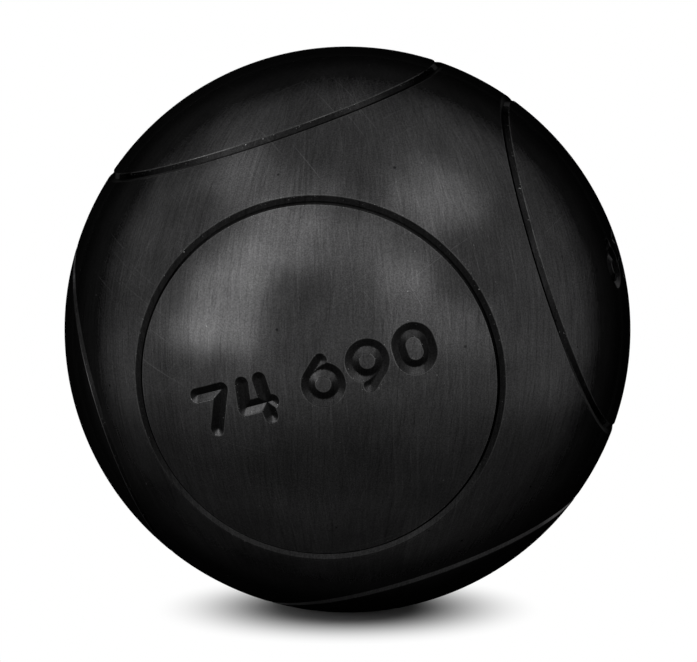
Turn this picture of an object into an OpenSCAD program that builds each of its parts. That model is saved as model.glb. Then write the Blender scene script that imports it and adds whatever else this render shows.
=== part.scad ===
// Petanque boule: two hollow steel half shells joined by one weld around the equator.
// The weld is turned flush with the ball, and six equal circular grooves are then
// milled across shells and weld alike, one about each end of three square axes.
// The origin is the centre of the ball, and +Z is the common axis of the half shells.
// The hole inside is sealed by the weld, and holds nothing but air.

/* [Ball] */
// Diameter of the finished ball
ball_d = 74; // [70.5:0.5:80]
// Thickness of both half shells
wall_t = 6.1; // [5:0.1:8]

/* [Grooves] */
// Angle at the ball's centre between the axis of a groove and its circle
groove_angle = 37.4; // [30:0.1:43]
// Width of a groove between the upper ends of its flanks
groove_w = 1.25; // [0.8:0.05:2]
// Depth of a groove below the surface of the ball
groove_depth = 0.6; // [0.4:0.05:0.9]
// Radius of the cutter's tip, at the bottom of a groove
groove_tip_r = 0.15; // [0.05:0.01:0.25]
// Width of the break along both edges of a groove, where the burr is taken off
edge_break_w = 0.08; // [0.02:0.01:0.15]
// Depth of the break at the upper end of a flank, less steep than the flank
edge_break_depth = 0.04; // [0.01:0.01:0.08]

/* [Groove directions] */
// Turn of the three groove axes about X, from square with the half shells
pattern_pitch = 6.6; // [-45:0.1:45]
// Turn of the three groove axes about Y
pattern_roll = -18.0; // [-45:0.1:45]
// Turn of the three groove axes about Z
pattern_yaw = -8.9; // [-45:0.1:45]

/* [Centring lip] */
// Thickness of the lip on the lower half shell, outwards from the hollow
lip_t = 1.5; // [1:0.1:2]
// Height of the lip above the butt faces of the half shells
lip_h = 2.0; // [1:0.1:3]
// Bevel that leads the lip into the recess of the upper half shell
lip_bevel = 0.3; // [0.1:0.05:0.5]
// Clearance all round the lip, in its recess
lip_clearance = 0.05; // [0.02:0.01:0.15]
// Clearance above the lip, so that the butt faces meet first
lip_end_clearance = 0.25; // [0.1:0.05:0.5]

/* [Weld] */
// Width of the butt faces, from the recess of the lip to the root of the weld
butt_w = 1.0; // [0.5:0.1:1.5]
// Width of the weld at its root, across the joint
weld_root_w = 1.0; // [0.5:0.1:2]
// Slope of each half shell's weld bevel, from square with the butt face
weld_bevel_angle = 30; // [20:1:40]

/* [Hidden] */
facets = 180;
overrun = 2;

ball_r = ball_d / 2;
hollow_r = ball_r - wall_t;

// The lip follows the hollow on its inside, and ends in a straight side outside
lip_r = hollow_r + lip_t;
recess_r = lip_r + lip_clearance;
recess_h = lip_h + lip_end_clearance;

// Half of the weld's section: the root, and the mouth carried past the ball's surface
weld_root_r = recess_r + butt_w;
weld_cut_r = ball_r + overrun;
weld_root_half = weld_root_w / 2;
weld_cut_half = weld_root_half + (weld_cut_r - weld_root_r) * tan(weld_bevel_angle);

// A groove's flanks run from the edge breaks to where they touch the round tip
flank_half = groove_w / 2;
mouth_half = flank_half + edge_break_w;
tip_y = groove_tip_r - groove_depth;
flank_rise = -edge_break_depth - tip_y;
tip_to_flank_end = norm([flank_half, flank_rise]);
flank_angle = atan2(flank_rise, flank_half) - acos(groove_tip_r / tip_to_flank_end);
touch_x = groove_tip_r * cos(flank_angle);
touch_y = tip_y + groove_tip_r * sin(flank_angle);

// Turns that carry the +Z axis to the six ends of the groove axes
GROOVE_TURNS = [[0, 0, 0], [90, 0, 0], [180, 0, 0], [270, 0, 0], [0, 90, 0], [0, 270, 0]];

// Section of the whole hollow ball, right of its axis
module wall_section() {
    intersection() {
        difference() {
            circle(r = ball_r, $fn = facets);
            circle(r = hollow_r, $fn = facets);
        }
        translate([0, -weld_cut_r])
            square([weld_cut_r, 2 * weld_cut_r]);
    }
}

// Section of the space between the weld bevels, carried past the ball's surface
module weld_section() {
    polygon([
        [weld_root_r, -weld_root_half],
        [weld_cut_r, -weld_cut_half],
        [weld_cut_r, weld_cut_half],
        [weld_root_r, weld_root_half]
    ]);
}

// Section of the lip, from the butt face of the lower half shell upwards
module lip_section() {
    intersection() {
        wall_section();
        polygon([
            [0, 0],
            [lip_r, 0],
            [lip_r, lip_h - lip_bevel],
            [lip_r - lip_bevel, lip_h],
            [0, lip_h]
        ]);
    }
}

// Section of a groove, with its mouth on the X axis and its depth along -Y
module groove_section() {
    translate([0, tip_y])
        circle(r = groove_tip_r, $fn = facets);
    polygon([
        [-mouth_half - overrun, overrun],
        [-mouth_half, 0],
        [-flank_half, -edge_break_depth],
        [-touch_x, touch_y],
        [touch_x, touch_y],
        [flank_half, -edge_break_depth],
        [mouth_half, 0],
        [mouth_half + overrun, overrun]
    ]);
}

// One groove about the +Z axis
module groove_cut() {
    rotate_extrude($fn = facets)
        translate([ball_r * sin(groove_angle), ball_r * cos(groove_angle)])
            rotate(-groove_angle)
                groove_section();
}

// All six grooves, where the finished ball has them
module groove_cuts() {
    rotate([pattern_pitch, pattern_roll, pattern_yaw])
        for (turn = GROOVE_TURNS)
            rotate(turn)
                groove_cut();
}

// Half shell with the recess for the lip, and the upper bevel of the weld
module upper_half_shell() {
    color("#1c1c1e")
        difference() {
            rotate_extrude($fn = facets)
                difference() {
                    intersection() {
                        wall_section();
                        square([weld_cut_r, weld_cut_r]);
                    }
                    square([recess_r, recess_h]);
                    weld_section();
                }
            groove_cuts();
        }
}

// Half shell with the lip that centres the upper one, and the lower bevel of the weld
module lower_half_shell() {
    color("#1c1c1e")
        difference() {
            rotate_extrude($fn = facets) {
                difference() {
                    intersection() {
                        wall_section();
                        translate([0, -weld_cut_r])
                            square([weld_cut_r, weld_cut_r]);
                    }
                    weld_section();
                }
                lip_section();
            }
            groove_cuts();
        }
}

// Ring of weld metal that fills the bevels, turned flush with the ball
module weld_bead() {
    color("#232326")
        difference() {
            rotate_extrude($fn = facets)
                intersection() {
                    weld_section();
                    circle(r = ball_r, $fn = facets);
                }
            groove_cuts();
        }
}

upper_half_shell();
lower_half_shell();
weld_bead();
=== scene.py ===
import math

import bmesh
import bpy
import numpy as np
from bpy.props import FloatProperty, FloatVectorProperty, IntProperty, PointerProperty, StringProperty
from mathutils import Euler, Matrix, Vector, geometry, kdtree


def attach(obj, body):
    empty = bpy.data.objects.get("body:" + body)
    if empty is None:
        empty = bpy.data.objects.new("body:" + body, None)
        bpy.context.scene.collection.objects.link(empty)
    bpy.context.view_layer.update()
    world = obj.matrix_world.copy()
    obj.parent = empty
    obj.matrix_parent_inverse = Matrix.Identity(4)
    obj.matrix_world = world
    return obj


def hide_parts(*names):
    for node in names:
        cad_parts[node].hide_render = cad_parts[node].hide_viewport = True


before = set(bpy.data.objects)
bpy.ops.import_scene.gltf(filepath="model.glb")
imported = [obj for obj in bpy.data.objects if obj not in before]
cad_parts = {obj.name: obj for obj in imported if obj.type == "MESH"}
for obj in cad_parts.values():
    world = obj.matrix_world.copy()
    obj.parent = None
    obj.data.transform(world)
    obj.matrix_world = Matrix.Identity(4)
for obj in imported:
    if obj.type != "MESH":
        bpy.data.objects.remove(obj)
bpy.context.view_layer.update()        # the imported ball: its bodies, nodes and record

bl_info = {
    "name": "Welded steel boule",
    "version": (1, 0, 0),
    "blender": (4, 5, 0),
    "location": "View3D > Sidebar > Boule",
    "description": "Dresses the packed boule: half shells and weld, grooved, engraved and blackened",
    "category": "Add Mesh",
}

MM = 0.001
# Keep a division from going by zero: in the script's own numbers, and in those of a node tree
NEAR_ZERO, TREE_NEAR_ZERO = 1e-12, 1e-7
FLOAT, VECTOR, GEOMETRY = "NodeSocketFloat", "NodeSocketVector", "NodeSocketGeometry"

# Point attribute of the pieces: distance outside the nearest cut's edge, as a share of the ball's radius
EDGE_ATTRIBUTE = "from_cut_edge"

# Each face of the groove pattern: the directions of its own right and up, seen from outside
FACES = {
    "front": ((1, 0, 0), (0, 0, 1)),
    "right": ((0, 1, 0), (0, 0, 1)),
    "back": ((-1, 0, 0), (0, 0, 1)),
    "left": ((0, -1, 0), (0, 0, 1)),
    "top": ((1, 0, 0), (0, 1, 0)),
    "bottom": ((1, 0, 0), (0, -1, 0)),
}


def length(name, description, millimetres, **limits):
    """A size that can be set, given here in millimetres and kept in metres."""
    return FloatProperty(
        name=name, description=description, default=millimetres * MM, unit="LENGTH", **limits)


def angle(name, description, degrees):
    return FloatProperty(name=name, description=description, default=math.radians(degrees), unit="ROTATION")


def amount(name, description, default, **limits):
    return FloatProperty(name=name, description=description, default=default, min=0, **limits)


def color(name, description, default):
    return FloatVectorProperty(
        name=name, description=description, default=default, subtype="COLOR", min=0, max=1)


class BallSizes(bpy.types.PropertyGroup):
    """Sizes of the three pieces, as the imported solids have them."""

    ball_r: length("Ball radius", "Radius of the finished ball", 37.0, min=0.035, max=0.04)
    wall: length("Wall", "Thickness of both half shells", 6.1, min=0.005, max=0.008)
    lip_w: length("Lip width", "Thickness of the centring lip, outwards from the hollow", 1.5)
    lip_h: length("Lip height", "Height of the centring lip above the butt faces", 2.0)
    lip_bevel: length("Lip bevel", "Bevel that leads the lip into its recess", 0.3)
    lip_gap: length("Lip clearance", "Clearance all round the lip", 0.05)
    lip_end_gap: length("Lip end clearance", "Clearance above the lip", 0.25)
    butt_w: length("Butt width", "Width of the butt faces, from the recess to the root of the weld", 1.0)
    weld_root_w: length("Weld root", "Width of the weld at its root", 1.0)
    weld_angle: angle("Weld bevel", "Slope of each weld bevel", 30)
    overrun: length("Overrun", "How far a turned blank stands past the ball before it is cut to it", 2.0)


class CutSizes(bpy.types.PropertyGroup):
    """Sizes of the six grooves and of the engraved numbers."""

    groove_angle: angle("Groove angle", "Angle at the ball's centre between a groove and its axis", 37.4)
    groove_half_w: length("Groove half width", "From the middle of a groove to the foot of its edge", 0.665)
    groove_depth: length("Groove depth", "Depth of a groove", 0.6)
    groove_floor: length("Groove floor", "Half of the width of a groove's round bottom", 0.1)
    groove_wander: length("Groove wander", "Range in which half of a groove's width strays", 0.025)
    edge_break: length("Edge break", "Half of the width of the bevel along each cut edge", 0.04)
    turn: FloatVectorProperty(
        name="Pattern turn", description="Turn of the groove pattern about X, Y and Z",
        default=(math.radians(6.6), math.radians(-18.0), math.radians(-8.9)), subtype="EULER")
    front_number: StringProperty(
        name="Front numbers", description="Diameter in millimetres and mass in grams", default="74 690")
    right_number: StringProperty(name="Right numbers", description="Mass in grams", default="690")
    left_number: StringProperty(name="Left numbers", description="Diameter in millimetres", default="74")
    digit_h: length("Digit height", "Height of a digit between the middles of its strokes", 4.75)
    digit_gap: length("Digit gap", "Clear width between neighbouring digits", 0.4)
    word_gap: length("Word gap", "Extra width between two numbers", 2.6)
    stroke_half_w: length("Stroke half width", "Half of the width of an engraved stroke", 0.92)
    stroke_floor: length("Stroke floor", "Half of the width of a stroke's flat bottom", 0.15)
    stroke_depth: length("Stroke depth", "Depth of an engraved stroke", 0.6)
    lattice: length("Lattice", "Spacing of the mesh under the engraved strokes", 0.1)
    around: IntProperty(
        name="Around", description="Number of mesh columns around each groove; a multiple of eight",
        default=320, min=64, step=8)


class FinishSettings(bpy.types.PropertyGroup):
    """Colour and surface of the blackened steel."""

    steel_color: color("Steel", "Reflection of the blackened steel", (0.03, 0.0298, 0.0302))
    edge_tint: color("Edge tint", "Reflection of the steel at a glancing angle", (0.35, 0.35, 0.35))
    bare_color: color("Bare steel", "Reflection where the oxide has worn off", (0.13, 0.13, 0.13))
    roughness: amount("Roughness", "Mean roughness of the brushed surface", 0.25, max=1)
    cut_roughness: amount("Cut roughness", "Roughness inside grooves and strokes", 0.28, max=1)
    bare_roughness: amount("Bare roughness", "Roughness where the oxide has worn off", 0.22, max=1)
    brush_height: length("Brush height", "Height of the brush marks", 0.002)
    wear_width: length("Wear width", "Half of the width of the worn line along a cut's edge", 0.055)


class StageSettings(bpy.types.PropertyGroup):
    """Floor, background and camera."""

    camera_distance: length("Camera distance", "From the camera to the point that it looks at", 444.0)
    camera_elevation: angle("Camera elevation", "Height of the camera above that point, as an angle there", 6)
    lens: FloatProperty(name="Lens", description="Focal length in millimetres, sensor 36 mm", default=174.8)
    aim: FloatVectorProperty(
        name="Aim", description="Point that the camera looks at",
        default=(0.13 * MM, 0.0, -0.2 * MM), subtype="TRANSLATION")
    floor_color: color("Floor", "Colour of the plain floor", (0.4, 0.4, 0.4))
    floor_r: length("Floor radius", "Radius of the round floor", 1500)
    ambient: amount("Ambient", "Level of the light from the world", 0.25)


class Bench:
    """Adds nodes to one tree; a value is a socket, a number or a tuple."""

    def __init__(self, tree):
        self.tree = tree

    def put(self, socket, value):
        if isinstance(value, bpy.types.NodeSocket):
            self.tree.links.new(value, socket)
        elif value is not None:
            socket.default_value = value

    def add(self, kind, inputs=None, **settings):
        node = self.tree.nodes.new(kind)
        for name, value in settings.items():
            setattr(node, name, value)
        for key, value in (inputs or {}).items():
            self.put(node.inputs[key], value)
        return node

    def math(self, operation, *values):
        node = self.add("ShaderNodeMath", operation=operation)
        for socket, value in zip(node.inputs, values):
            self.put(socket, value)
        return node.outputs[0]

    def times(self, a, b):
        return self.math("MULTIPLY", a, b)

    def plus(self, a, b):
        return self.math("ADD", a, b)

    def minus(self, a, b):
        return self.math("SUBTRACT", a, b)

    def larger(self, a, b):
        return self.math("MAXIMUM", a, b)

    def vector(self, operation, *values):
        node = self.add("ShaderNodeVectorMath", operation=operation)
        for socket, value in zip(node.inputs, values):
            self.put(socket, value)
        return node.outputs["Value" if operation in ("LENGTH", "DOT_PRODUCT") else "Vector"]

    def scale(self, vector, factor):
        return self.add("ShaderNodeVectorMath", {"Vector": vector, "Scale": factor},
                        operation="SCALE").outputs["Vector"]

    def mix(self, factor, a, b):
        node = self.add("ShaderNodeMix", data_type="FLOAT")
        for socket, value in zip(node.inputs[:1] + node.inputs[2:4], (factor, a, b)):
            self.put(socket, value)
        return node.outputs[0]

    def ramp(self, value, low, high, to_low=0.0, to_high=1.0):
        """A smooth step of value from low to high."""
        return self.add("ShaderNodeMapRange", {
            "Value": value, "From Min": low, "From Max": high, "To Min": to_low, "To Max": to_high,
        }, interpolation_type="SMOOTHSTEP").outputs["Result"]

    def noise(self, vector, scale, **others):
        """A noise, whose other inputs are given by their own names."""
        return self.add("ShaderNodeTexNoise", {"Vector": vector, "Scale": scale, **others}).outputs[0]

    def parts(self, vector):
        return self.add("ShaderNodeSeparateXYZ", {"Vector": vector}).outputs

    def joined(self, x=0.0, y=0.0, z=0.0):
        return self.add("ShaderNodeCombineXYZ", {0: x, 1: y, 2: z}).outputs[0]

    def group(self, tree, inputs):
        """Places a node group and gives its outputs."""
        return self.add(tree.bl_idname.replace("Tree", "Group"), inputs, node_tree=tree).outputs


def floats(*names):
    return tuple((name, FLOAT) for name in names)


def new_group(kind, name, inputs, outputs):
    """A node group with these sockets: its tree, a bench for it, what it is given and what it gives out."""
    tree = bpy.data.node_groups.new(name, kind)
    for in_out, sockets in (("INPUT", inputs), ("OUTPUT", outputs)):
        for label, socket_kind in sockets:
            tree.interface.new_socket(label, in_out=in_out, socket_type=socket_kind)
    given = tree.nodes.new("NodeGroupInput").outputs
    return tree, Bench(tree), given, tree.nodes.new("NodeGroupOutput").inputs


def group_once(build, name):
    """The node group of that name, built the first time that it is asked for."""
    return bpy.data.node_groups.get(name) or build()


def arc(center, radius, start, end, steps=24):
    """Points of an arc, from start to end in degrees."""
    turns = [math.radians(start + (end - start) * i / steps) for i in range(steps + 1)]
    return [(center[0] + radius * math.cos(t), center[1] + radius * math.sin(t)) for t in turns]


# Width of a digit and radius of its bowls, as shares of its height
DIGIT_W_SHARE = 0.78
BOWL_R_SHARE = DIGIT_W_SHARE / 2


def bowl_with_stem():
    """The strokes of a 6, for a digit height of 1: a round bowl and a straight stem touching it."""
    middle = (BOWL_R_SHARE, BOWL_R_SHARE)
    tip = (0.64 * DIGIT_W_SHARE, 1.0)
    reach = math.dist(tip, middle)
    touch = math.atan2(tip[1] - middle[1], tip[0] - middle[0]) + math.acos(BOWL_R_SHARE / reach)
    foot = (middle[0] + BOWL_R_SHARE * math.cos(touch), middle[1] + BOWL_R_SHARE * math.sin(touch))
    return [arc(middle, BOWL_R_SHARE, 0, 360, 48), [foot, tip]]


def half_turned(strokes):
    return [[(DIGIT_W_SHARE - x, 1 - y) for x, y in stroke] for stroke in strokes]


def digit_strokes(digit):
    """Strokes of one digit as lines of points, for a digit height of 1."""
    w, r = DIGIT_W_SHARE, BOWL_R_SHARE
    if digit == "0":
        loop = arc((r, 1 - r), r, 0, 180) + arc((r, r), r, 180, 360)
        return [loop + loop[:1]]
    if digit == "4":
        return [[(0.16 * w, 1), (0, 0.36), (w, 0.36)], [(0.8 * w, 1), (0.8 * w, 0)]]
    if digit == "6":
        return bowl_with_stem()
    if digit == "7":
        return [[(0, 1), (w, 1), (0.36 * w, 0)]]
    if digit == "9":
        return half_turned(bowl_with_stem())
    raise ValueError(f"No strokes are drawn for {digit!r}")


def number_strokes(text, sizes):
    """Strokes of a row of digits, centred on the origin, in metres."""
    step = sizes.digit_h * DIGIT_W_SHARE + 2 * sizes.stroke_half_w + sizes.digit_gap
    strokes, left, width = [], 0.0, 0.0
    for sign in text:
        if sign == " ":
            left += sizes.word_gap
            continue
        for stroke in digit_strokes(sign):
            strokes.append([(left + x * sizes.digit_h, y * sizes.digit_h) for x, y in stroke])
        width = left + sizes.digit_h * DIGIT_W_SHARE
        left += step
    return [[(x - width / 2, y - sizes.digit_h / 2) for x, y in stroke] for stroke in strokes]


def split_line(points, spacing):
    """The same line with a point at least every spacing."""
    line = [points[0]]
    for a, b in zip(points, points[1:]):
        parts = max(1, math.ceil(math.dist(a, b) / spacing))
        line += [(a[0] + (b[0] - a[0]) * i / parts, a[1] + (b[1] - a[1]) * i / parts)
                 for i in range(1, parts + 1)]
    return line


# Where each row of numbers lies in its groove circle, right and up of the circle's middle
NUMBER_PLACES = {
    "front": (0.5 * MM, 1.2 * MM),
    "right": (0.0, -1.0 * MM),
    "left": (0.0, -1.0 * MM),
}


def mark_lines(sizes):
    """The engraved lines of each marked face, as flat lines of points in metres."""
    texts = {"front": sizes.front_number, "right": sizes.right_number, "left": sizes.left_number}
    lines = {}
    for face, (right, up) in NUMBER_PLACES.items():
        strokes = number_strokes(texts[face], sizes)
        lines[face] = [split_line([(x + right, y + up) for x, y in stroke], 2 * sizes.lattice)
                       for stroke in strokes]
    return lines


def onto_ball(flat, face, radius):
    """Carries flat points of a face onto the ball, keeping their distance and direction from its middle."""
    flat = np.asarray(flat, float)
    reach = np.hypot(flat[:, 0], flat[:, 1])
    angle = reach / radius
    spread = np.where(reach > 0, np.sin(angle) / np.maximum(reach, NEAR_ZERO), 1 / radius)
    right, up = (np.array(axis, float) for axis in FACES[face])
    out = np.cross(right, up)
    across = np.outer(flat[:, 0] * spread, right) + np.outer(flat[:, 1] * spread, up)
    return radius * (across + np.outer(np.cos(angle), out))


def triangular(spacing, low, high):
    """Points of a triangular lattice over a box."""
    row_h = spacing * math.sqrt(3) / 2
    rows = np.arange(math.floor(low[1] / row_h), math.ceil(high[1] / row_h) + 1)
    columns = np.arange(math.floor(low[0] / spacing) - 1, math.ceil(high[0] / spacing) + 1)
    column, row = np.meshgrid(columns, rows)
    return np.column_stack(((column + 0.5 * (row % 2)).ravel() * spacing, row.ravel() * row_h))


# Circles of points inside a disc's rim: what divides their number, and how far in they lie
RIM_CIRCLES = ((1, 0.0), (2, 0.45 * MM), (4, 1.2 * MM))
# Widths of the band of those circles, and of the middle lattice around the fine one
RIM_BAND, MIDDLE_BAND = 1.8 * MM, 1.0 * MM
# Spacings in steps of the fine lattice, and how far past a stroke's edge the fine lattice goes
MIDDLE_STEP, COARSE_STEP, FINE_MARGIN = 3, 9, 1.5


def disc_points(rim, lines, sizes):
    """Points for a disc: dense under the engraved lines and coarse elsewhere, ending in the rim's circle."""
    points = []
    for divisor, inset in RIM_CIRCLES:
        count = sizes.around // divisor
        turn = (np.arange(count) + 0.25 * (inset > 0)) * math.tau / count
        points.append(np.column_stack((np.cos(turn), np.sin(turn))) * (rim - inset))
    fine = sizes.lattice
    coarse = triangular(COARSE_STEP * fine, (-rim, -rim), (rim, rim))
    coarse = coarse[np.hypot(coarse[:, 0], coarse[:, 1]) < rim - RIM_BAND]
    path = [point for line in lines for point in line]
    if not path:
        return np.vstack(points + [coarse])
    tree = kdtree.KDTree(len(path))
    for index, (x, y) in enumerate(path):
        tree.insert((x, y, 0), index)
    tree.balance()

    def away(places):
        return np.array([tree.find((x, y, 0))[2] for x, y in places])

    near = sizes.stroke_half_w + 2 * sizes.edge_break + FINE_MARGIN * fine
    far = near + MIDDLE_BAND
    low, high = np.min(path, axis=0) - far, np.max(path, axis=0) + far
    points.append(coarse[away(coarse) >= far])
    for spacing, inner, outer in ((MIDDLE_STEP * fine, near, far), (fine, 0.0, near)):
        places = triangular(spacing, low, high)
        distance = away(places)
        points.append(places[(distance >= inner) & (distance < outer)])
    return np.vstack(points)


# Rings between a groove and the border of its face, and how close two points are to be one
OUTER_RINGS = 9
SAME_POINT = 0.002 * MM
# For the triangulation of a disc: the kind of result, all of the convex hull, and the tolerance
WHOLE_HULL, TOLERANCE = 0, 1e-9


def face_lattice(face, lines, ball, cut):
    """Points and faces of one face of the pattern on a plain ball, with a ring at each step of the groove."""
    radius, around = ball.ball_r, cut.around
    middle = cut.groove_angle * radius
    foot, edge, floor = cut.groove_half_w, cut.edge_break, cut.groove_floor
    steps = [0, 0.5 * floor, floor, 1.5 * floor, 2.5 * floor, 0.6 * foot, foot - 3 * edge, foot - 2 * edge,
             foot - edge, foot, foot + edge, foot + 2 * edge, foot + 3 * edge]
    rim = middle - steps[-1]
    flat = disc_points(rim, lines, cut)
    disc = geometry.delaunay_2d_cdt([Vector(p) for p in flat.tolist()], [], [], WHOLE_HULL, TOLERANCE)
    points = [onto_ball([tuple(v) for v in disc[0]], face, radius)]
    faces = [tuple(f) for f in disc[2]]

    turn = np.arange(around) * math.tau / around
    past_corner = (turn + math.pi / 4) % (math.pi / 2) - math.pi / 4
    border = np.arctan(1 / np.cos(past_corner)) * radius
    rings = [np.full(around, middle + step) for step in [-s for s in reversed(steps[1:])] + steps]
    for i in range(1, OUTER_RINGS + 1):
        share = i / OUTER_RINGS
        rings.append((middle + steps[-1]) * (1 - share) + border * share)
    first = len(points[0])
    for ring in rings:
        points.append(onto_ball(np.column_stack((np.cos(turn), np.sin(turn))) * ring[:, None], face, radius))
    for ring in range(len(rings) - 1):
        for i in range(around):
            a, b = first + ring * around + i, first + ring * around + (i + 1) % around
            faces.append((a, a + around, b + around, b))
    return np.vstack(points), faces


def ball_lattice(name, lines, ball, cut):
    """A plain ball whose mesh follows the grooves and engraved lines, with the pattern square to the axes."""
    points, faces = [], []
    for face in FACES:
        first = sum(len(p) for p in points)
        own_points, own_faces = face_lattice(face, lines.get(face, []), ball, cut)
        points.append(own_points)
        faces += [tuple(first + i for i in f) for f in own_faces]
    mesh = bpy.data.meshes.new(name)
    mesh.from_pydata(np.vstack(points).tolist(), [], faces)
    bm = bmesh.new()
    bm.from_mesh(mesh)
    bmesh.ops.remove_doubles(bm, verts=bm.verts, dist=SAME_POINT)
    bmesh.ops.recalc_face_normals(bm, faces=bm.faces)
    bm.to_mesh(mesh)
    bm.free()
    return mesh


def line_mesh(name, lines, radius):
    """The engraved lines on the ball, as bare edges."""
    points, edges = [], []
    for face, face_lines in lines.items():
        for line in face_lines:
            first = len(points)
            points += onto_ball(line, face, radius).tolist()
            edges += [(first + i, first + i + 1) for i in range(len(line) - 1)]
    mesh = bpy.data.meshes.new(name)
    mesh.from_pydata(points, edges, [])
    return mesh


def cutter_group():
    """How deep a tapered cutter has cut, at a distance from the line that it followed."""
    tree, bench, given, out = new_group(
        "GeometryNodeTree", "Tapered cutter",
        floats("Distance", "Half Width", "Floor", "Depth", "Edge Break", "Tip Softness"), floats("Depth"))
    run = bench.minus(given["Half Width"], given["Floor"])
    slope = bench.math("DIVIDE", given["Depth"], run)
    wall = bench.times(bench.minus(given["Half Width"], given["Distance"]), slope)
    beyond = bench.minus(bench.plus(given["Half Width"], given["Edge Break"]), given["Distance"])
    bevel = bench.times(bench.times(beyond, slope), 0.5)
    side = bench.math("MINIMUM", wall, bevel)
    bottomed = bench.math("SMOOTH_MIN", side, given["Depth"], given["Tip Softness"])
    bench.put(out["Depth"], bench.larger(bottomed, 0.0))
    return tree


def distance_group():
    """Distances of a position from the nearest groove's middle and from the nearest engraved line."""
    tree, bench, given, out = new_group(
        "GeometryNodeTree", "Cut distances",
        (("Position", VECTOR), ("Lines", GEOMETRY), *floats("Ball Radius", "Groove Angle")),
        (*floats("From Groove", "From Line"), ("On Line", VECTOR), ("Has Lines", "NodeSocketBool")))
    radius = given["Ball Radius"]
    outward = bench.vector("NORMALIZE", given["Position"])
    parts = bench.parts(bench.vector("ABSOLUTE", outward))
    axis_share = bench.larger(bench.larger(parts[0], parts[1]), parts[2])
    off_angle = bench.minus(bench.math("ARCCOSINE", axis_share), given["Groove Angle"])
    bench.put(out["From Groove"], bench.times(bench.math("ABSOLUTE", off_angle), radius))
    nearest = bench.add("GeometryNodeProximity", {
        "Geometry": given["Lines"], "Sample Position": bench.scale(outward, radius)},
        target_element="EDGES").outputs
    bench.put(out["From Line"], bench.add("GeometryNodeSwitch", {
        "Switch": nearest["Is Valid"], "False": radius, "True": nearest["Distance"],
    }, input_type="FLOAT").outputs[0])
    bench.put(out["On Line"], nearest["Position"])
    bench.put(out["Has Lines"], nearest["Is Valid"])
    return tree


def wander_group():
    """Half of a groove's width at a direction in the pattern, which strays a little along its circle."""
    tree, bench, given, out = new_group(
        "GeometryNodeTree", "Groove wander",
        (("Direction", VECTOR), *floats("Half Width", "Wander")), floats("Half Width"))
    noise = bench.noise(given["Direction"], 25.0, Detail=4.0)
    stray = bench.times(bench.minus(noise, 0.5), given["Wander"])
    bench.put(out["Half Width"], bench.plus(given["Half Width"], stray))
    return tree


# Inputs of both trees that work on the pieces
CUT_SOCKETS = (
    ("Geometry", GEOMETRY),
    ("Lines", "NodeSocketObject"),
    ("Pattern Turn", "NodeSocketRotation"),
    ("Material", "NodeSocketMaterial"),
    *floats("Ball Radius", "Groove Angle", "Groove Half Width", "Groove Wander", "Stroke Half Width"),
)


def finish_tree(bench, shape, material, output):
    """Ends a tree: real geometry, shaded smooth, in its material."""
    smooth = bench.add("GeometryNodeSetShadeSmooth", {0: shape}).outputs[0]
    real = bench.add("GeometryNodeRealizeInstances", {"Geometry": smooth}).outputs[0]
    bench.put(output, bench.add("GeometryNodeSetMaterial", {
        "Geometry": real, "Material": material}).outputs[0])


def distances_from_cuts(bench, given, position):
    """How far a position in the pattern is from the cuts."""
    lines = bench.add("GeometryNodeObjectInfo", {"Object": given["Lines"]}).outputs["Geometry"]
    return bench.group(group_once(distance_group, "Cut distances"), {
        "Position": position, "Lines": lines, "Ball Radius": given["Ball Radius"],
        "Groove Angle": given["Groove Angle"]})


def groove_half_width(bench, given, direction):
    return bench.group(group_once(wander_group, "Groove wander"), {
        "Direction": direction, "Half Width": given["Groove Half Width"],
        "Wander": given["Groove Wander"]})[0]


def moved_to_edges(bench, given, position, away):
    """The distance and place of a point, moved onto an edge of a stroke where it lies near one."""
    distance = snapped = away["From Line"]
    half_lattice = bench.times(given["Lattice"], 0.5)
    for edge in (given["Stroke Floor"],
                 bench.minus(given["Stroke Half Width"], given["Edge Break"]),
                 bench.plus(given["Stroke Half Width"], given["Edge Break"])):
        off = bench.math("ABSOLUTE", bench.minus(distance, edge))
        snapped = bench.mix(bench.math("LESS_THAN", off, half_lattice), snapped, edge)
    from_line = bench.vector("SUBTRACT", position, away["On Line"])
    moved = bench.scale(from_line, bench.math("DIVIDE", snapped, bench.larger(distance, TREE_NEAR_ZERO)))
    place = bench.add("GeometryNodeSwitch", {
        "Switch": away["Has Lines"], "False": position,
        "True": bench.vector("ADD", away["On Line"], moved)}, input_type="VECTOR").outputs[0]
    return snapped, place


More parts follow.
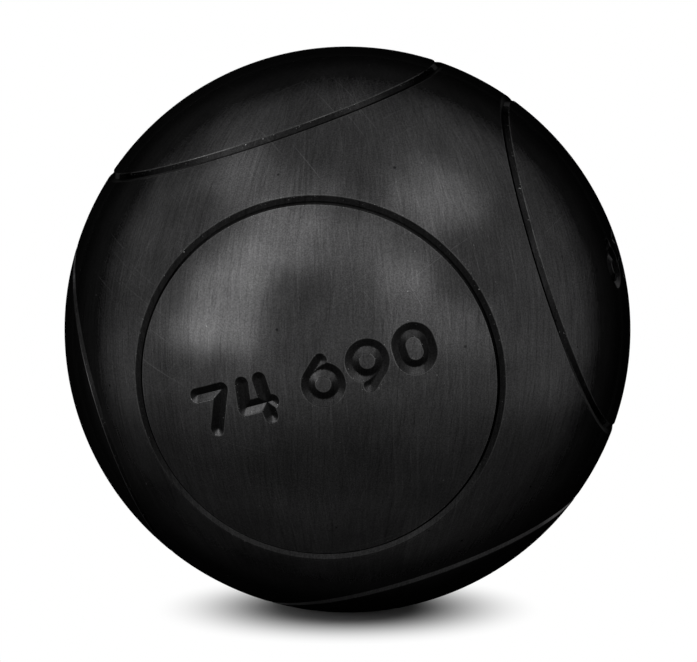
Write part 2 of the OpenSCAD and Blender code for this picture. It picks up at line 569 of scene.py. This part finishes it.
def cutting_tree():
    """Mills the six grooves and engraves the lines on a plain ball, and turns the pattern to its place."""
    tree, bench, given, out = new_group(
        "GeometryNodeTree", "Groove and engrave",
        CUT_SOCKETS + floats("Groove Depth", "Groove Floor", "Stroke Depth", "Stroke Floor", "Edge Break",
                             "Lattice"),
        (("Geometry", GEOMETRY),))
    cutter = cutter_group()
    position = bench.add("GeometryNodeInputPosition").outputs[0]
    away = distances_from_cuts(bench, given, position)
    snapped, place = moved_to_edges(bench, given, position, away)
    outward = bench.vector("NORMALIZE", place)

    groove = bench.group(cutter, {
        "Distance": away["From Groove"], "Half Width": groove_half_width(bench, given, outward),
        "Floor": given["Groove Floor"], "Depth": given["Groove Depth"], "Edge Break": given["Edge Break"],
        "Tip Softness": bench.times(given["Groove Floor"], 1.5)})[0]
    stroke = bench.group(cutter, {
        "Distance": snapped, "Half Width": given["Stroke Half Width"], "Floor": given["Stroke Floor"],
        "Depth": given["Stroke Depth"], "Edge Break": given["Edge Break"], "Tip Softness": 0.0})[0]
    level = bench.minus(given["Ball Radius"], bench.larger(groove, stroke))
    cut = bench.add("GeometryNodeSetPosition", {
        "Geometry": given["Geometry"], "Position": bench.scale(outward, level)}).outputs[0]
    turned = bench.add("GeometryNodeTransform", {
        "Geometry": cut, "Rotation": given["Pattern Turn"]}).outputs[0]
    finish_tree(bench, turned, given["Material"], out["Geometry"])
    return tree


def noting_tree():
    """Notes on each point of a finished piece how far it is from the nearest cut's edge."""
    tree, bench, given, out = new_group(
        "GeometryNodeTree", "Note the cut edges", CUT_SOCKETS, (("Geometry", GEOMETRY),))
    position = bench.add("GeometryNodeInputPosition").outputs[0]
    back = bench.add("FunctionNodeInvertRotation", {"Rotation": given["Pattern Turn"]}).outputs[0]
    unturned = bench.add("FunctionNodeRotateVector", {"Vector": position, "Rotation": back}).outputs[0]
    away = distances_from_cuts(bench, given, unturned)
    groove_half = groove_half_width(bench, given, bench.vector("NORMALIZE", unturned))
    past_groove = bench.minus(away["From Groove"], groove_half)
    past_stroke = bench.minus(away["From Line"], given["Stroke Half Width"])
    noted = bench.add("GeometryNodeStoreNamedAttribute", {
        "Geometry": given["Geometry"], "Name": EDGE_ATTRIBUTE,
        "Value": bench.math("DIVIDE", bench.math("MINIMUM", past_groove, past_stroke), given["Ball Radius"]),
    }, data_type="FLOAT", domain="POINT").outputs[0]
    finish_tree(bench, noted, given["Material"], out["Geometry"])
    return tree


def add_nodes_modifier(obj, tree, values):
    """Puts a tree on an object, with those of its inputs set that the values name."""
    modifier = obj.modifiers.new(tree.name, "NODES")
    modifier.node_group = tree
    for item in tree.interface.items_tree:
        if item.item_type == "SOCKET" and item.in_out == "INPUT" and item.name in values:
            modifier[item.identifier] = values[item.name]
    return modifier


def add_object(name, data):
    obj = bpy.data.objects.new(name, data)
    bpy.context.scene.collection.objects.link(obj)
    return obj


def plain_mesh(obj, name):
    """The object as its modifiers leave it, as a plain mesh of its own."""
    graph = bpy.context.evaluated_depsgraph_get()
    mesh = bpy.data.meshes.new_from_object(obj.evaluated_get(graph))
    mesh.name = name
    return mesh


def remove_object(obj):
    mesh = obj.data
    bpy.data.objects.remove(obj)
    bpy.data.meshes.remove(mesh)


def cut_values(scene):
    """The sizes of ball and cuts by the names of the trees' inputs, and the engraved lines, drawn once."""
    ball, cut = scene.boule_ball, scene.boule_cut
    mesh = bpy.data.meshes.get("engraved_lines")
    if mesh is None:
        mesh = line_mesh("engraved_lines", mark_lines(cut), ball.ball_r)
    values = {size.name.title(): getattr(sizes, size.identifier)
              for sizes in (ball, cut) for size in sizes.bl_rna.properties}
    return {**values, "Pattern Turn": Euler(cut.turn), "Lines": add_object("line_guide", mesh)}


def cut_ball(scene):
    """The solid ball with its grooves and numbers, which the three pieces are cut from. It is made once."""
    mesh = bpy.data.meshes.get("cut_ball")
    if mesh:
        return mesh
    ball, cut = scene.boule_ball, scene.boule_cut
    values = cut_values(scene)
    blank = add_object("ball_blank", ball_lattice("ball_blank", mark_lines(cut), ball, cut))
    add_nodes_modifier(blank, cutting_tree(), values)
    mesh = plain_mesh(blank, "cut_ball")
    remove_object(blank)
    bpy.data.objects.remove(values["Lines"])
    return mesh


# Steps of the hollow's arc and of a full turn, and how close two turned points are to be one
HOLLOW_STEPS, TURN_STEPS = 40, 192
SAME_TURNED_POINT = 0.0005 * MM


class Joint:
    """The places of the joint that the sizes of the ball lead to, as radius and height."""

    def __init__(self, ball):
        self.hollow_r = ball.ball_r - ball.wall
        self.lip_r = self.hollow_r + ball.lip_w
        self.recess_r = self.lip_r + ball.lip_gap
        self.recess_h = ball.lip_h + ball.lip_end_gap
        self.root_r = self.recess_r + ball.butt_w
        self.root_h = ball.weld_root_w / 2
        self.out_r = ball.ball_r + ball.overrun
        self.out_h = self.root_h + (self.out_r - self.root_r) * math.tan(ball.weld_angle)

    def hollow(self, height, end):
        """The hollow's side from a height to its top, where end is 1, or to its bottom, where end is -1."""
        start, last = math.asin(height / self.hollow_r), HOLLOW_STEPS
        turns = [start + (end * math.pi / 2 - start) * i / last for i in range(last + 1)]
        return [(self.hollow_r * abs(math.cos(t)) * (i < last), self.hollow_r * math.sin(t))
                for i, t in enumerate(turns)]


def upper_outline(ball):
    j = Joint(ball)
    return [(0, j.out_r), (j.out_r, j.out_r), (j.out_r, j.out_h), (j.root_r, j.root_h), (j.root_r, 0),
            (j.recess_r, 0), (j.recess_r, j.recess_h)] + j.hollow(j.recess_h, 1)


def lower_outline(ball):
    j = Joint(ball)
    return [(0, -j.out_r), (j.out_r, -j.out_r), (j.out_r, -j.out_h), (j.root_r, -j.root_h), (j.root_r, 0),
            (j.lip_r, 0), (j.lip_r, ball.lip_h - ball.lip_bevel),
            (j.lip_r - ball.lip_bevel, ball.lip_h)] + j.hollow(ball.lip_h, -1)


def weld_outline(ball):
    j = Joint(ball)
    return [(j.root_r, -j.root_h), (j.out_r, -j.out_h), (j.out_r, j.out_h), (j.root_r, j.root_h),
            (j.root_r, -j.root_h)]


def mesh_of(bm, name):
    mesh = bpy.data.meshes.new(name)
    bm.to_mesh(mesh)
    bm.free()
    return mesh


def turned_mesh(name, outline):
    """A solid of revolution about Z from an outline of radius and height."""
    bm = bmesh.new()
    verts = [bm.verts.new((r, 0, z)) for r, z in outline]
    edges = [bm.edges.new(pair) for pair in zip(verts, verts[1:])]
    bmesh.ops.spin(bm, geom=verts + edges, axis=(0, 0, 1), cent=(0, 0, 0), angle=math.tau,
                   steps=TURN_STEPS, use_merge=True)
    bmesh.ops.remove_doubles(bm, verts=bm.verts, dist=SAME_TURNED_POINT)
    bmesh.ops.recalc_face_normals(bm, faces=bm.faces)
    return mesh_of(bm, name)


# Edges with more than this angle between their faces stay sharp
SHARP_ANGLE = math.radians(30)
# A face lies on the ball's own surface when it is this near to it and tilts by less than this angle
SKIN = 0.02 * MM
SKIN_ANGLE = math.radians(2.5)


def read_all(items, name, width=3, kind=np.float32):
    """One property of all the items of a mesh, as an array."""
    values = np.empty(len(items) * width, kind)
    items.foreach_get(name, values)
    return values.reshape(-1, width) if width > 1 else values


def set_ball_normals(mesh, radius):
    """Gives each corner on the ball's own surface the ball's exact normal, and leaves the cuts alone."""
    mesh.shade_smooth()
    mesh.set_sharp_from_angle(angle=SHARP_ANGLE)
    normals = read_all(mesh.corner_normals, "vector")
    centers = read_all(mesh.polygons, "center")
    reach = np.linalg.norm(centers, axis=1)
    outward = np.einsum("ij,ij->i", read_all(mesh.polygons, "normal"), centers) / reach
    corner_counts = read_all(mesh.polygons, "loop_total", 1, np.int32)
    on_ball = np.repeat((reach > radius - SKIN) & (outward > math.cos(SKIN_ANGLE)), corner_counts)
    rays = read_all(mesh.vertices, "co")[read_all(mesh.loops, "vertex_index", 1, np.int32)]
    rays /= np.linalg.norm(rays, axis=1)[:, None]
    normals[on_ball] = rays[on_ball]
    mesh.normals_split_custom_set(normals.tolist())


def cut_piece(scene, node, outline, material):
    """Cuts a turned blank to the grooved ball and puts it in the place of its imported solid."""
    name = node + "_dressed"
    blank = add_object(name, turned_mesh(name, outline(scene.boule_ball)))
    blank.data.materials.append(material)
    cutter = add_object("ball_cutter", cut_ball(scene))
    trim = blank.modifiers.new("Cut to the ball", "BOOLEAN")
    trim.operation = "INTERSECT"
    trim.solver = "MANIFOLD"
    trim.object = cutter
    values = cut_values(scene)
    add_nodes_modifier(blank, group_once(noting_tree, "Note the cut edges"), {**values, "Material": material})
    mesh = plain_mesh(blank, name)
    mesh.materials.clear()
    mesh.materials.append(material)
    bpy.data.objects.remove(values["Lines"])
    bpy.data.objects.remove(cutter)
    remove_object(blank)
    set_ball_normals(mesh, scene.boule_ball.ball_r)
    piece = add_object(name, mesh)
    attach(piece, "root")
    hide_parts(node)
    return piece


def brush_group():
    """Fine lines drawn along the meridians of a turned axis. Positions are shares of the ball's radius."""
    tree, bench, given, out = new_group(
        "ShaderNodeTree", "Brush marks",
        (("Position", VECTOR), ("Turn", VECTOR), *floats("Across", "Along", "Sway")), floats("Marks"))
    turned = bench.add("ShaderNodeVectorRotate", {
        "Vector": given["Position"], "Rotation": given["Turn"]}, rotation_type="EULER_XYZ").outputs[0]
    drift = bench.add("ShaderNodeTexNoise", {
        "Vector": turned, "Scale": 2.5, "Detail": 1.0}).outputs["Color"]
    drift = bench.scale(bench.vector("SUBTRACT", drift, (0.5, 0.5, 0.5)), given["Sway"])
    parts = bench.parts(bench.vector("ADD", turned, drift))
    around = bench.scale(bench.vector("NORMALIZE", bench.joined(parts[0], parts[1])), given["Across"])
    place = bench.vector("ADD", around, bench.joined(z=bench.times(parts[2], given["Along"])))
    bench.put(out["Marks"], bench.noise(place, 1.0, Detail=1.5, Roughness=0.6))
    return tree


def speck_group():
    """Small round spots, strewn at random. Positions are shares of the ball's radius."""
    tree, bench, given, out = new_group(
        "ShaderNodeTree", "Specks",
        (("Position", VECTOR), *floats("Scale", "Share", "Size")), floats("Specks"))
    cells = bench.add("ShaderNodeTexVoronoi", {
        "Vector": given["Position"], "Scale": given["Scale"]}).outputs
    chance = bench.add("ShaderNodeSeparateColor", {"Color": cells["Color"]}).outputs
    chosen = bench.math("LESS_THAN", chance[0], given["Share"])
    size = bench.times(given["Size"], bench.plus(0.4, chance[1]))
    spot = bench.minus(1.0, bench.ramp(cells["Distance"], bench.times(size, 0.5), size))
    bench.put(out["Specks"], bench.times(spot, chosen))
    return tree


def wear_group():
    """Where a cut is, and where its edge has worn bright."""
    tree, bench, given, out = new_group(
        "ShaderNodeTree", "Cut wear",
        (("Position", VECTOR), *floats("From Edge", "Width")), floats("Inside", "Band", "Worn", "Flecks"))
    width = given["Width"]
    off = bench.math("ABSOLUTE", given["From Edge"])

    def near_edge(full, none):
        """1 within some widths of the edge, and 0 beyond some more."""
        return bench.minus(1.0, bench.ramp(off, bench.times(width, full), bench.times(width, none)))

    bench.put(out["Inside"], bench.ramp(given["From Edge"], width, bench.times(width, -1.0)))
    band = near_edge(0.6, 1.7)
    bench.put(out["Band"], band)
    patches = bench.noise(given["Position"], 28.0, Detail=5.0, Roughness=0.7)
    bench.put(out["Worn"], bench.times(band, bench.ramp(patches, 0.3, 0.55, 0.25, 1.0)))
    flecks = bench.ramp(bench.noise(given["Position"], 190.0, Detail=2.0), 0.69, 0.74)
    bench.put(out["Flecks"], bench.times(near_edge(3.0, 9.0), flecks))
    return tree


def painted_cut_light_group():
    """Where light and shade are painted in the cuts: walls that face up more than the ball's own surface
    does, and how low they are.
    """
    tree, bench, given, out = new_group(
        "ShaderNodeTree", "Dust", (("Position", VECTOR),), floats("Lying", "Low"))
    outward = bench.vector("NORMALIZE", given["Position"])
    normal = bench.add("ShaderNodeNewGeometry").outputs["Normal"]
    leaning = bench.vector("SUBTRACT", normal, outward)
    bench.put(out["Lying"], bench.ramp(bench.parts(leaning)[2], 0.05, 0.45))
    bench.put(out["Low"], bench.ramp(bench.parts(outward)[2], -0.15, -0.6))
    return tree


def new_material(name):
    """A material, a bench for it, and its shader."""
    material = bpy.data.materials.new(name)
    material.use_nodes = True
    return material, Bench(material.node_tree), material.node_tree.nodes["Principled BSDF"]


# Marks of the brush and of use: the turn of their axis, how close they lie across and along it, their sway
MARKS = {
    "line": ((0.03, 0.05, 0), 170.0, 7.0, 0.03),
    "crossing_line": ((0.1, -0.17, 0), 130.0, 4.0, 0.04),
    "light_hair": ((0.0, 0.08, 0.7), 150.0, 4.0, 0.03),
    "dark_hair": ((0.06, -0.04, 1.9), 140.0, 5.0, 0.03),
    "scratch": ((1.1, 0.5, 0.2), 230.0, 2.2, 0.03),
    "other_scratch": ((0.4, -0.9, 1.3), 260.0, 1.8, 0.04),
}
# How much the clouds change the roughness in all
ROUGHNESS_SPREAD = 0.14


def surface_marks(bench, place):
    """What the steel's surface shows, by name: each is a share from 0 to 1, and hairs go down to -1."""
    brush, speck = group_once(brush_group, "Brush marks"), group_once(speck_group, "Specks")

    def marks(name):
        turn, across, along, sway = MARKS[name]
        return bench.group(brush, {
            "Position": place, "Turn": turn, "Across": across, "Along": along, "Sway": sway})[0]

    def specks(scale, share, size):
        return bench.group(speck, {"Position": place, "Scale": scale, "Share": share, "Size": size})[0]

    scratch = bench.larger(bench.ramp(marks("scratch"), 0.66, 0.74),
                           bench.ramp(marks("other_scratch"), 0.67, 0.75))
    patch = bench.ramp(bench.noise(place, 2.2, Detail=2.0, Distortion=0.5), 0.35, 0.65)
    return {
        "lines": bench.mix(0.5, marks("line"), marks("crossing_line")),
        "hairs": bench.minus(bench.ramp(marks("light_hair"), 0.56, 0.68),
                             bench.ramp(marks("dark_hair"), 0.56, 0.68)),
        "cloud": bench.noise(place, 3.5, Detail=5.0, Roughness=0.55),
        "grain": bench.noise(place, 210.0, Detail=1.0),
        "scratch": bench.times(scratch, patch),
        "pits": specks(26.0, 0.06, 0.13),
        "dots": bench.times(specks(41.0, 0.07, 0.09), 0.6),
    }


def oxide_level(bench, seen, worn, wall_light):
    """How light the oxide is, as a multiple of its own colour, with painted light and shade inside the cuts.
    """
    level = bench.times(bench.ramp(seen["lines"], 0.35, 0.65, 0.89, 1.11),
                        bench.ramp(seen["cloud"], 0.3, 0.7, 0.82, 1.18))
    level = bench.times(level, bench.plus(1.0, bench.times(seen["hairs"], 0.22)))
    level = bench.times(level, bench.ramp(seen["grain"], 0.3, 0.7, 0.78, 1.22))
    level = bench.plus(level, bench.times(seen["scratch"], 0.7))
    # Painted light and shade inside the cuts: walls that face up are lighter than the others, and more so
    # near the ground
    painted_wall_light = bench.mix(wall_light["Low"], 0.65, 1.9)
    level = bench.times(level, bench.mix(worn["Inside"], 1.0, bench.mix(wall_light["Lying"], 0.2, painted_wall_light)))
    level = bench.times(level, bench.mix(seen["pits"], 1.0, 0.35))
    # Painted shade: a cut's lower edge, where its wall faces up, is kept black
    return bench.times(level, bench.mix(bench.times(worn["Band"], wall_light["Lying"]), 1.0, 0.2))


def bump_height(bench, seen):
    height = bench.plus(seen["lines"], bench.times(seen["grain"], 0.35))
    height = bench.minus(height, bench.times(seen["scratch"], 0.5))
    return bench.minus(height, bench.times(seen["pits"], 1.5))


def black_oxide(name, finish, radius):
    """Brushed steel under black oxide, worn along the edges of the cuts."""
    material, bench, shader = new_material(name)
    place = bench.scale(bench.add("ShaderNodeTexCoord").outputs["Object"], 1 / radius)
    seen = surface_marks(bench, place)
    from_edge = bench.add("ShaderNodeAttribute", attribute_name=EDGE_ATTRIBUTE).outputs["Fac"]
    worn = bench.group(group_once(wear_group, "Cut wear"), {
        "Position": place, "From Edge": from_edge, "Width": finish.wear_width / radius})
    # Where light and shade are painted on the walls of the cuts
    wall_light = bench.group(group_once(painted_cut_light_group, "Dust"), {"Position": place})
    level = oxide_level(bench, seen, worn, wall_light)
    # A cut's upper edge is worn a little
    edge_wear = bench.times(worn["Worn"], bench.mix(wall_light["Lying"], 0.2, 0.0))
    bright = bench.larger(bench.larger(edge_wear, worn["Flecks"]), seen["dots"])

    # Painted shade: toward the outline the metal fades to a dull black, where it would mirror the white
    # surrounding
    facing = bench.add("ShaderNodeLayerWeight", {"Blend": 0.5}).outputs["Facing"]
    gloss = bench.mix(worn["Inside"], bench.ramp(facing, 0.8, 0.4), bench.ramp(facing, 0.9, 0.6))
    rim_painted_shade = bench.mix(bench.math("POWER", gloss, 2.0), 0.05, 1.0)
    # Painted light: walls that face up inside the cuts are lightened at a slant, but not at the ball's
    # outline
    lit_cut_walls = bench.times(bench.times(worn["Inside"], wall_light["Lying"]), bench.ramp(facing, 0.85, 0.7))
    level = bench.times(level, bench.mix(lit_cut_walls, rim_painted_shade, bench.ramp(facing, 0.45, 0.6, 1.0, 3.5)))
    bright = bench.times(bright, gloss)

    bench.put(shader.inputs["Base Color"], bench.add("ShaderNodeMix", {
        "Factor": bright, 6: bench.scale(finish.steel_color, level), 7: (*finish.bare_color, 1),
    }, data_type="RGBA").outputs[2])
    rough = bench.plus(finish.roughness - ROUGHNESS_SPREAD / 2, bench.times(seen["cloud"], ROUGHNESS_SPREAD))
    rough = bench.mix(worn["Inside"], rough, finish.cut_roughness)
    bench.put(shader.inputs["Roughness"], bench.mix(bright, rough, finish.bare_roughness))
    bench.put(shader.inputs["Metallic"], gloss)
    bench.put(shader.inputs["Specular IOR Level"], 0.0)
    bench.put(shader.inputs["Specular Tint"], (*finish.edge_tint, 1))
    bench.put(shader.inputs["Normal"], bench.add("ShaderNodeBump", {
        "Strength": 1.0, "Distance": finish.brush_height, "Height": bump_height(bench, seen)}).outputs[0])
    return material


# Softboxes: azimuth right of the camera, elevation, width, height (degrees from the ball), brightness
SOFTBOXES = {
    "key": (-50, 10, 30, 30, 4.5),
    "key_middle": (-45, 30, 20, 15, 3.0),
    "key_top": (-35, 40, 25, 25, 2.5),
    "overhead": (-5, 40, 35, 20, 1.5),
    "catch": (25, 25, 20, 15, 3.0),
    "catch_low": (30, 5, 25, 20, 1.5),
    "left_low": (-65, 0, 20, 10, 2.5),
    "left_high": (-80, 55, 25, 20, 1.5),
    "top_left": (-30, 60, 25, 15, 1.0),
    "top_right": (50, 65, 25, 15, 0.5),
    "right_low": (50, 5, 20, 15, 1.0),
    "right_high": (55, 50, 30, 20, 2.5),
}
LAMP_DISTANCE = 0.8


def aim_at(obj, target):
    obj.rotation_euler = (Vector(target) - obj.location).to_track_quat("-Z", "Y").to_euler()


def add_softbox(name, azimuth, elevation, width, height, brightness):
    lamp = bpy.data.lights.new(name, "AREA")
    lamp.shape = "RECTANGLE"
    lamp.size = 2 * LAMP_DISTANCE * math.tan(math.radians(width / 2))
    lamp.size_y = 2 * LAMP_DISTANCE * math.tan(math.radians(height / 2))
    lamp.energy = brightness * math.pi * lamp.size * lamp.size_y
    obj = add_object(name, lamp)
    az, el = math.radians(azimuth), math.radians(elevation)
    direction = (math.sin(az) * math.cos(el), -math.cos(az) * math.cos(el), math.sin(el))
    obj.location = [LAMP_DISTANCE * part for part in direction]
    aim_at(obj, (0, 0, 0))


def background_ray(bench):
    """1 for rays that show the background: from the camera, off gloss and through glass."""
    rays = bench.add("ShaderNodeLightPath").outputs
    shown = bench.larger(rays["Is Camera Ray"], rays["Is Glossy Ray"])
    return bench.larger(shown, rays["Is Transmission Ray"])


# Where the floor turns white, in ball radii from the middle: to the camera, and in mirrored rays
WHITE_SEEN = (0.22, 0.7)
WHITE_MIRRORED = (1.5, 4.0)


def floor_material(stage, radius):
    """A plain pale floor that keeps the ball's shadow and is white further out."""
    material, bench, paint = new_material("floor")
    bench.put(paint.inputs["Base Color"], (*stage.floor_color, 1))
    bench.put(paint.inputs["Roughness"], 0.9)
    bench.put(paint.inputs["Specular IOR Level"], 0.0)
    white = bench.add("ShaderNodeEmission", {"Color": (1, 1, 1, 1), "Strength": 1.0})
    parts = bench.parts(bench.add("ShaderNodeTexCoord").outputs["Object"])
    away = bench.vector("LENGTH", bench.joined(parts[0], parts[1]))
    rays = bench.add("ShaderNodeLightPath").outputs

    def whiter(span, ray):
        start, end = span
        return bench.times(bench.ramp(away, start * radius, end * radius), ray)

    mirrored = bench.larger(rays["Is Glossy Ray"], rays["Is Transmission Ray"])
    factor = bench.larger(whiter(WHITE_SEEN, rays["Is Camera Ray"]), whiter(WHITE_MIRRORED, mirrored))
    mixed = bench.add("ShaderNodeMixShader", {"Fac": factor, 1: paint.outputs[0], 2: white.outputs[0]})
    bench.put(material.node_tree.nodes["Material Output"].inputs["Surface"], mixed.outputs[0])
    return material


def add_world(stage):
    world = bpy.data.worlds.new("studio")
    bpy.context.scene.world = world
    world.use_nodes = True
    bench = Bench(world.node_tree)
    background = world.node_tree.nodes["Background"]
    background.inputs["Color"].default_value = (1, 1, 1, 1)
    bench.put(background.inputs["Strength"], bench.mix(background_ray(bench), stage.ambient, 1.0))


def add_camera(stage):
    camera = bpy.data.cameras.new("camera")
    camera.lens = stage.lens
    camera.clip_start = 0.01
    obj = add_object("camera", camera)
    aim = Vector(stage.aim)
    obj.location = aim + stage.camera_distance * Vector(
        (0, -math.cos(stage.camera_elevation), math.sin(stage.camera_elevation)))
    aim_at(obj, aim)
    bpy.context.scene.camera = obj


class BOULE_OT_half_shells(bpy.types.Operator):
    """Build both half shells with their share of the grooves and numbers"""

    bl_idname = "boule.half_shells"
    bl_label = "Half shells"

    def execute(self, context):
        scene = context.scene
        steel = black_oxide("shell_black_oxide", scene.boule_finish, scene.boule_ball.ball_r)
        cut_piece(scene, "upper_half_shell", upper_outline, steel)
        cut_piece(scene, "lower_half_shell", lower_outline, steel)
        return {"FINISHED"}


class BOULE_OT_weld_bead(bpy.types.Operator):
    """Build the weld bead, flush with the half shells"""

    bl_idname = "boule.weld_bead"
    bl_label = "Weld bead"

    def execute(self, context):
        scene = context.scene
        steel = black_oxide("weld_black_oxide", scene.boule_finish, scene.boule_ball.ball_r)
        cut_piece(scene, "weld_bead", weld_outline, steel)
        return {"FINISHED"}


class BOULE_OT_stage(bpy.types.Operator):
    """Set up the floor, the background, the lamps and the camera"""

    bl_idname = "boule.stage"
    bl_label = "Stage"

    def execute(self, context):
        scene, stage = context.scene, context.scene.boule_stage
        bm = bmesh.new()
        bmesh.ops.create_circle(bm, cap_ends=True, segments=96, radius=stage.floor_r)
        mesh = mesh_of(bm, "floor")
        mesh.transform(Matrix.Translation((0, 0, -scene.boule_ball.ball_r)))
        mesh.materials.append(floor_material(stage, scene.boule_ball.ball_r))
        add_object("floor", mesh)
        add_world(stage)
        for name, values in SOFTBOXES.items():
            add_softbox(name, *values)
        add_camera(stage)
        scene.view_settings.view_transform = "Standard"
        return {"FINISHED"}


class BOULE_PT_panel(bpy.types.Panel):
    bl_idname = "BOULE_PT_panel"
    bl_label = "Boule"
    bl_space_type = "VIEW_3D"
    bl_region_type = "UI"
    bl_category = "Boule"

    def draw(self, context):
        for operator in OPERATORS:
            self.layout.operator(operator.bl_idname)


GROUPS = {"boule_ball": BallSizes, "boule_cut": CutSizes, "boule_finish": FinishSettings,
          "boule_stage": StageSettings}
OPERATORS = (BOULE_OT_half_shells, BOULE_OT_weld_bead, BOULE_OT_stage)


def register():
    for name, group in GROUPS.items():
        bpy.utils.register_class(group)
        setattr(bpy.types.Scene, name, PointerProperty(type=group))
    for operator in OPERATORS:
        bpy.utils.register_class(operator)
    bpy.utils.register_class(BOULE_PT_panel)


def unregister():
    bpy.utils.unregister_class(BOULE_PT_panel)
    for operator in reversed(OPERATORS):
        bpy.utils.unregister_class(operator)
    for name, group in reversed(GROUPS.items()):
        delattr(bpy.types.Scene, name)
        bpy.utils.unregister_class(group)


def main():
    register()
    bpy.ops.boule.half_shells()
    bpy.ops.boule.weld_bead()
    bpy.ops.boule.stage()


if __name__ == "__main__":
    main()
